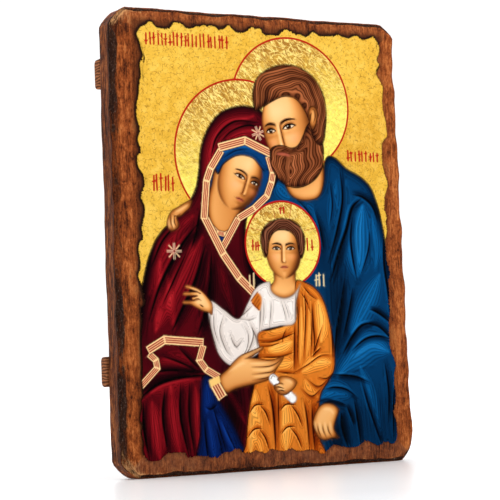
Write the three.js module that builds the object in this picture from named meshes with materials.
// Icon panel: a hand-hewn wooden board that stands on its lower edge, with a torn-edged
// picture sheet glued to its front and two battens across its back.
// Millimetres, +Z up, the picture faces -Y. The origin lies under the middle of the panel.
import * as THREE from "three";
import { LoftGeometry } from "three/addons/geometries/LoftGeometry.js";

// Board: reach of each side from the picture's middle line at the foot and at the top, then the
// height, the thickness and the number of places round the edge.
const BOARD_LEFT = { foot: -105.8, top: -104 };
const BOARD_RIGHT = { foot: 107, top: 105.6 };
const BOARD_HEIGHT = 290;
const BOARD_THICKNESS = 18;
const BOARD_SLICES = 300;

// Corners sawn off the board: length taken along the level edge and along the upright edge.
const BOARD_CUTS = {
  bottomLeft: { level: 12, upright: 11 },
  bottomRight: { level: 9, upright: 12 },
  topRight: { level: 10, upright: 10 },
  topLeft: { level: 12, upright: 13 },
};
const CUT_FULLNESS = 0.28;

// Hewn edge of the front: inset of the ridge, depth of the bevel down the side, and the share of
// that depth reached half way in. A high share is a hollow bevel, a low share a rounded one.
const BEVEL_WIDTH = { left: 2.8, right: 3.4, top: 2.6, bottom: 2.8 };
const BEVEL_DEPTH = { left: 3.6, right: 4.6, top: 2.8, bottom: 3.2 };
const BEVEL_HOLLOW = { left: 0.82, right: 0.22, top: 0.4, bottom: 0.46 };
const BEVEL_UNEVEN = 0.3;
const BACK_EASING = 1;
const SIDE_HOLLOW = 0.35;

// Gouge cuts along the margin: where the flat front begins, the fall of the ridge below it, and
// the length and extra depth of one cut on the level edges.
const LAND_INSET = 7;
const RIDGE_FALL = 0.25;
const GOUGE_LENGTH = 21;
const GOUGE_DEPTH = 0.75;

// Waves of the hewn outline: depth, number of waves round the edge, phase.
const HEWN_WAVES = [
  { depth: 0.4, count: 11, phase: 0.4 },
  { depth: 0.25, count: 31, phase: 2.1 },
  { depth: 0.12, count: 73, phase: 4.0 },
];

// Picture sheet: thickness, and the peaks and hollows of its torn edge as level and upright places,
// from the lower left corner along the foot, up the right, back along the top and down the left.
const SHEET_THICKNESS = 0.5;
const SHEET_SLICES = 600;
const TEAR_STEPS = 5000;
const TORN_FOOT = [
  [-89.9, 11.5], [-87.8, 10.4], [-85, 10.3], [-81, 10.6], [-78, 13], [-74, 14.5], [-67, 14.3],
  [-64, 14.2], [-61.8, 11], [-56, 11.8], [-49.5, 11], [-45, 9.8], [-42.5, 9.5], [-40, 10.2],
  [-36.5, 13], [-33, 12.8], [-27, 14.4], [-25, 14], [-23.8, 12], [-18.5, 11.2], [-15.5, 12.2],
  [-12.5, 12.2], [-7.5, 10.7], [-3.5, 12.6], [0, 12.1], [5, 11.2], [8, 11.4], [9.5, 12.3],
  [13, 12.2], [15, 10.8], [18, 10.3], [24, 10.8], [31, 9.8], [32.8, 8], [35.5, 7.8], [37.5, 9],
  [41.5, 12.3], [44.5, 13], [50, 11.4], [56, 10.6], [59, 10.5], [62, 11.4], [64.5, 12.8],
  [67.5, 13.8], [70, 13.8], [72.5, 13], [74, 11.8], [76.5, 10.9], [79, 11], [81, 12.5],
  [83.5, 13], [86, 12.3], [88, 11.3], [90, 11.8],
];
const TORN_RIGHT = [
  [91, 13], [92, 16], [92.3, 20], [92.2, 25], [91.4, 28], [90.3, 31], [90.9, 34], [92.2, 38],
  [92.7, 44], [92, 50], [92.2, 55], [92.8, 59], [93.9, 62], [93.3, 65], [91.8, 69], [90.3, 73],
  [89.8, 77], [90, 87], [90.3, 92], [91.3, 98], [91.2, 105], [91.3, 113], [91.1, 118],
  [92.8, 122], [92.2, 127], [91, 130], [90.4, 137], [90.4, 145], [91.3, 148], [92.2, 152],
  [91.3, 157], [92.4, 160], [91, 165], [91.1, 170], [91.9, 175], [93.9, 180], [94.3, 183],
  [93, 187], [91.7, 191], [90.8, 195], [91, 202], [91.3, 209], [93.6, 212], [95.6, 214.5],
  [95.3, 220], [94.9, 225], [93.6, 230], [92.9, 237], [93.6, 243], [94.1, 247], [93, 250],
  [90.8, 253], [88.8, 256.5], [90.2, 259], [92.6, 261.5], [90.2, 264.5], [90.9, 267], [92.5, 271],
  [92.5, 274], [91.2, 277], [89.5, 279.5],
];
const TORN_TOP = [
  [88.2, 281], [86, 280.3], [83, 278.9], [79.5, 278.5], [77, 279.3], [75, 280.8], [71.5, 280],
  [69, 278.8], [65.5, 279], [62.5, 279.8], [60, 280.8], [57, 279.7], [49, 278.9], [45.5, 279],
  [43.2, 280.5], [41.2, 281.6], [39, 280], [37, 278.3], [34.5, 277.8], [32, 279], [29.5, 279],
  [26.5, 279.5], [24, 281], [21.5, 281.7], [19.5, 281.5], [17.5, 280], [15.5, 278.2], [13, 277.4],
  [9, 277.4], [5, 277.3], [3, 279], [2.3, 281], [-2, 281], [-4.3, 282], [-5.5, 281.5],
  [-7.5, 279.5], [-10, 278], [-13, 277.7], [-16, 277.8], [-18.5, 279.5], [-20, 281.3],
  [-21.5, 282], [-23.5, 280.5], [-25.5, 279], [-28.5, 279.2], [-31, 280.4], [-34, 281],
  [-36.5, 280.5], [-39, 281], [-42, 280], [-44.5, 280], [-47, 278.6], [-50, 278.3],
  [-52.6, 278.8], [-53.4, 280.3], [-57.5, 281.4], [-60.5, 281.3], [-61.5, 280], [-62.7, 278.2],
  [-66, 277.3], [-69.5, 277.2], [-73, 277.8], [-74.3, 279.5], [-75.5, 280.8], [-77.8, 281],
  [-79.5, 279], [-83.4, 277.4], [-84.8, 275.4],
];
const TORN_LEFT = [
  [-86.6, 272.6], [-85.9, 270], [-84.8, 268], [-83.7, 263.3], [-82.6, 259.7], [-83.4, 257.2],
  [-84.9, 254.7], [-84.6, 247], [-85.9, 242], [-86.6, 234.7], [-88, 229.7], [-88.7, 224.4],
  [-88.4, 220.3], [-87.5, 216.7], [-86.8, 212.4], [-87.7, 209.2], [-88.4, 206.7], [-87.5, 203],
  [-86.6, 200], [-87.5, 198.5], [-89.1, 196.4], [-88.9, 190.3], [-87.5, 187.8], [-85.7, 185.3],
  [-84.9, 182.4], [-85, 179], [-86.4, 175.3], [-87.7, 173], [-87.5, 170.3], [-85.6, 166.5],
  [-85.4, 164.4], [-85.9, 160], [-87, 156.2], [-87.9, 152.6], [-87.3, 147], [-87.7, 145.3],
  [-89.5, 143.7], [-90.6, 141], [-90.4, 136.6], [-89.6, 131], [-90.2, 126.6], [-91.4, 123.7],
  [-91.4, 121.2], [-90.2, 119], [-88.9, 115.7], [-88.3, 110], [-87.2, 107], [-87.9, 104.8],
  [-90.1, 103.7], [-90.3, 101], [-89.7, 94.5], [-90.6, 89.4], [-90.8, 79.4], [-90.7, 68],
  [-91.5, 58.5], [-91, 53], [-90.9, 50], [-92.4, 47], [-92.1, 43.3], [-93.1, 39.4], [-93.7, 35.4],
  [-92.6, 33.6], [-91.7, 31.9], [-92.8, 29], [-92.1, 24], [-91.4, 21], [-92.4, 18.3],
  [-91.4, 14.7],
];

// Battens: height, depth, rounding of the outer edges, easing of the sawn ends, and for each one
// the height of its centre line and how far its ends stand out past the board's sides.
const BATTEN_HEIGHT = 18.5;
const BATTEN_DEPTH = 8;
const BATTEN_ROUNDING = 3;
const BATTEN_EASING = 0.8;
const UPPER_BATTEN = { z: 250, overhang: -0.6 };
const LOWER_BATTEN = { z: 65.5, overhang: 0.8 };

const TOTAL_DEPTH = SHEET_THICKNESS + BOARD_THICKNESS + BATTEN_DEPTH;
const FRONT = SHEET_THICKNESS - TOTAL_DEPTH / 2;
const BACK = FRONT + BOARD_THICKNESS;

/** Closed path through four corners, each cut across with a slightly full curve. */
function cutCornerPath(corners) {
  const path = new THREE.Path();
  corners.forEach((corner, i) => {
    const before = corners[(i + 3) % 4].at;
    const after = corners[(i + 1) % 4].at;
    const start = corner.at.clone().add(before.clone().sub(corner.at).setLength(corner.cutIn));
    const end = corner.at.clone().add(after.clone().sub(corner.at).setLength(corner.cutOut));
    if (i === 0) {
      path.moveTo(start.x, start.y);
    } else {
      path.lineTo(start.x, start.y);
    }
    const first = start.clone().lerp(corner.at, CUT_FULLNESS);
    const second = end.clone().lerp(corner.at, CUT_FULLNESS);
    path.bezierCurveTo(first.x, first.y, second.x, second.y, end.x, end.y);
  });
  path.closePath();
  return path;
}

/** Evenly spaced places along a closed path, each with its outward normal and arc length. */
function edgePlaces(path, count) {
  const length = path.getLength();
  return path
    .getSpacedPoints(count)
    .slice(0, count)
    .map((point, i, all) => {
      const along = all[(i + 1) % count].clone().sub(all[(i + count - 1) % count]).normalize();
      const normal = new THREE.Vector2(along.y, -along.x);
      return { point, normal, share: i / count, s: (i / count) * length };
    });
}

/** Point of a ring: an edge place moved inward and set at a depth. */
function ringPoint(place, inset, depth) {
  const { point, normal } = place;
  return new THREE.Vector3(point.x - normal.x * inset, depth, point.y - normal.y * inset);
}

/** Blend of four edge values by the way the edge faces. */
function bySide(place, values) {
  const { x, y } = place.normal;
  const level = x < 0 ? values.left : values.right;
  const upright = y < 0 ? values.bottom : values.top;
  return level * x * x + upright * y * y;
}

/** Inward wave of the hewn outline. The underside stays straight so that the board stands. */
function hewnInset(place) {
  const lift = 1 - Math.max(0, -place.normal.y) ** 8;
  let inset = 0;
  for (const wave of HEWN_WAVES) {
    inset += wave.depth * 0.5 * (1 + Math.sin(2 * Math.PI * wave.count * place.share + wave.phase));
  }
  return inset * lift;
}

/** Unevenness of the bevel, about one. */
function bevelFactor(place) {
  const slow = Math.sin(2 * Math.PI * 23 * place.share + 1.3);
  const quick = Math.sin(2 * Math.PI * 53 * place.share + 0.2);
  return 1 + BEVEL_UNEVEN * (0.6 * slow + 0.4 * quick);
}

/** Fall of the ridge below the front, deeper in each gouge cut of the level edges. */
function ridgeFall(place) {
  const cut = Math.abs(Math.sin((Math.PI * place.s) / GOUGE_LENGTH));
  return RIDGE_FALL + GOUGE_DEPTH * place.normal.y ** 4 * cut;
}

/** Board lofted from its back face over the sides and the hewn bevel to its flat front. */
function boardGeometry() {
  const { bottomLeft, bottomRight, topRight, topLeft } = BOARD_CUTS;
  const corner = (x, z, cutIn, cutOut) => ({ at: new THREE.Vector2(x, z), cutIn, cutOut });
  const path = cutCornerPath([
    corner(BOARD_LEFT.foot, 0, bottomLeft.upright, bottomLeft.level),
    corner(BOARD_RIGHT.foot, 0, bottomRight.level, bottomRight.upright),
    corner(BOARD_RIGHT.top, BOARD_HEIGHT, topRight.upright, topRight.level),
    corner(BOARD_LEFT.top, BOARD_HEIGHT, topLeft.level, topLeft.upright),
  ]);
  const places = edgePlaces(path, BOARD_SLICES);
  const rings = [[], [], [], [], [], [], []];
  for (const place of places) {
    const edge = hewnInset(place);
    const factor = bevelFactor(place);
    const width = bySide(place, BEVEL_WIDTH) * factor;
    const depth = bySide(place, BEVEL_DEPTH) * factor;
    const hollow = bySide(place, BEVEL_HOLLOW);
    const lift = 1 - Math.max(0, -place.normal.y) ** 8;
    const sideBack = BACK - BACK_EASING;
    const sideFront = FRONT + depth;
    rings[0].push(ringPoint(place, edge + BACK_EASING, BACK));
    rings[1].push(ringPoint(place, edge, sideBack));
    rings[2].push(ringPoint(place, edge + SIDE_HOLLOW * lift, (sideBack + sideFront) / 2));
    rings[3].push(ringPoint(place, edge, sideFront));
    rings[4].push(ringPoint(place, edge + width / 2, FRONT + depth * hollow));
    rings[5].push(ringPoint(place, edge + width, FRONT + ridgeFall(place)));
    rings[6].push(ringPoint(place, LAND_INSET, FRONT));
  }
  return new LoftGeometry(rings, { capStart: true, capEnd: true });
}

/** Picture sheet: a smooth line through the torn peaks and hollows, flat on the front of the board. */
function sheetGeometry() {
  const marks = [...TORN_FOOT, ...TORN_RIGHT, ...TORN_TOP, ...TORN_LEFT];
  const corners = marks.map(([x, z]) => new THREE.Vector3(x, 0, z));
  const line = new THREE.CatmullRomCurve3(corners, true);
  line.arcLengthDivisions = TEAR_STEPS;
  const places = line.getSpacedPoints(SHEET_SLICES).slice(0, SHEET_SLICES);
  const ring = (depth) => places.map(({ x, z }) => new THREE.Vector3(x, depth, z));
  const rings = [ring(FRONT), ring(FRONT - SHEET_THICKNESS)];
  return new LoftGeometry(rings, { capStart: true, capEnd: true });
}

/** Batten: a bar along X with its outer edges rounded and its sawn ends eased. */
function battenGeometry({ z, overhang }) {
  const low = z - BATTEN_HEIGHT / 2;
  const high = z + BATTEN_HEIGHT / 2;
  const outer = BACK + BATTEN_DEPTH;
  const left = THREE.MathUtils.lerp(BOARD_LEFT.foot, BOARD_LEFT.top, z / BOARD_HEIGHT) - overhang;
  const right = THREE.MathUtils.lerp(BOARD_RIGHT.foot, BOARD_RIGHT.top, z / BOARD_HEIGHT) + overhang;
  const turned = outer - BATTEN_ROUNDING;
  const quarter = Math.PI / 2;
  const profile = new THREE.Shape();
  profile.moveTo(BACK, low);
  profile.lineTo(turned, low);
  profile.absarc(turned, low + BATTEN_ROUNDING, BATTEN_ROUNDING, -quarter, 0, false);
  profile.absarc(turned, high - BATTEN_ROUNDING, BATTEN_ROUNDING, 0, quarter, false);
  profile.lineTo(BACK, high);
  profile.closePath();
  const geometry = new THREE.ExtrudeGeometry(profile, {
    depth: right - left - 2 * BATTEN_EASING,
    bevelThickness: BATTEN_EASING,
    bevelSize: BATTEN_EASING,
    bevelOffset: -BATTEN_EASING,
    bevelSegments: 2,
    curveSegments: 6,
  });
  geometry.translate(0, 0, left + BATTEN_EASING);
  const turn = new THREE.Matrix4();
  turn.makeBasis(new THREE.Vector3(0, 1, 0), new THREE.Vector3(0, 0, 1), new THREE.Vector3(1, 0, 0));
  return geometry.applyMatrix4(turn);
}

/** Named mesh with a plain material of one colour. */
function piece(name, geometry, color, roughness) {
  const mesh = new THREE.Mesh(geometry, new THREE.MeshStandardMaterial({ color, roughness }));
  mesh.name = name;
  return mesh;
}

const panel = new THREE.Group();
panel.name = "icon_panel";
panel.add(piece("board", boardGeometry(), 0x6f4126, 0.7));
panel.add(piece("picture_sheet", sheetGeometry(), 0xc9993f, 0.45));
panel.add(piece("upper_batten", battenGeometry(UPPER_BATTEN), 0x5f3a24, 0.75));
panel.add(piece("lower_batten", battenGeometry(LOWER_BATTEN), 0x5f3a24, 0.75));

// The hewn sides are not quite alike, so the panel is centred over the origin.
const middle = new THREE.Box3().setFromObject(panel).getCenter(new THREE.Vector3());
for (const mesh of panel.children) {
  mesh.geometry.translate(-middle.x, 0, 0);
}

export default panel;
